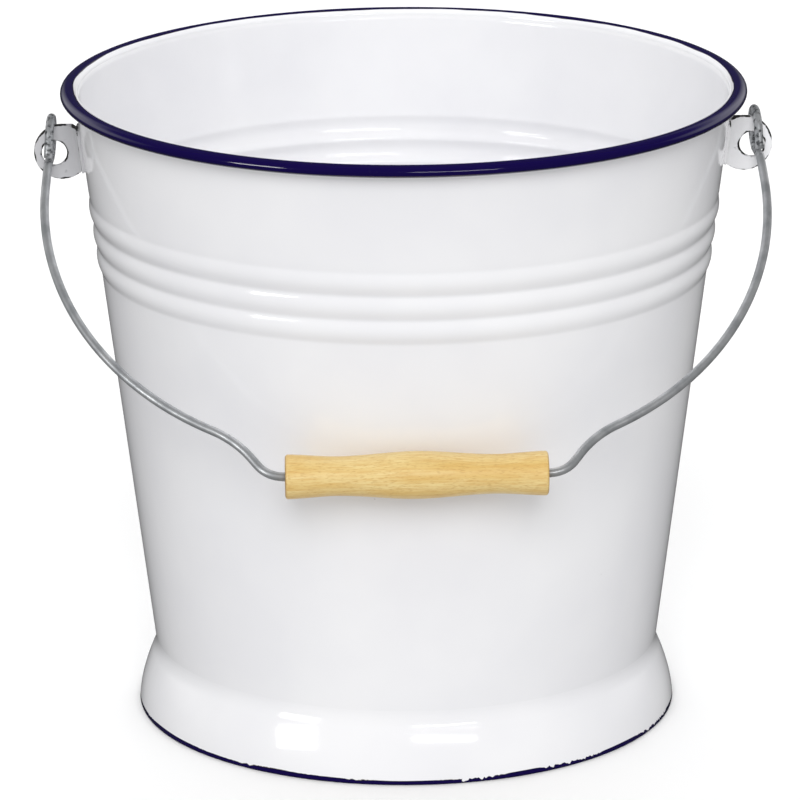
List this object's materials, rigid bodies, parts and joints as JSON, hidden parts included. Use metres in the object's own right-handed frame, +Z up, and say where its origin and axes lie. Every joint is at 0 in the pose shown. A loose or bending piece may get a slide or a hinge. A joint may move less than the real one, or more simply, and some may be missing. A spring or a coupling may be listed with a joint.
{
  "type": "milk pail",
  "caption": "Enamelled steel pail: beaded tapering wall, rolled dark rim, flared foot, and a swinging wire bail with a turned wooden grip that spins on it.",
  "frame": {"origin": "where the pail's axis meets the floor it stands on", "axes": "+Z up along the pail's axis; the two ears lie on the X axis; the bail hangs down on the -Y side at rest"},
  "size_m": [0.3152, 0.292, 0.2753],
  "materials": {
    "white_enamel": "glossy vitreous enamel on sheet steel",
    "navy_enamel": "glossy dark blue vitreous enamel",
    "galvanised_wire": "satin zinc-coated steel wire",
    "varnished_wood": "turned light hardwood under clear varnish"
  },
  "bodies": {
    "pail": {"body_wall": "white_enamel", "rolled_rim": "navy_enamel", "rim_wire": "galvanised_wire", "bottom_pan": "white_enamel", "foot_ring": "white_enamel", "ear_right": "white_enamel", "ear_left": "white_enamel"},
    "bail": {"bail_wire": "galvanised_wire"},
    "grip": {"grip": "varnished_wood"}
  },
  "joints": [
    {"name": "bail_swing", "type": "hinge", "parent": "pail", "child": "bail", "pos_m": [0, 0, 0.25545], "axis": [-1, 0, 0], "range_deg": [0, 258.8]},
    {"name": "grip_spin", "type": "hinge", "parent": "bail", "child": "grip", "pos_m": [0, -0.13422, 0.14229], "axis": [1, 0, 0], "continuous": true}
  ]
}
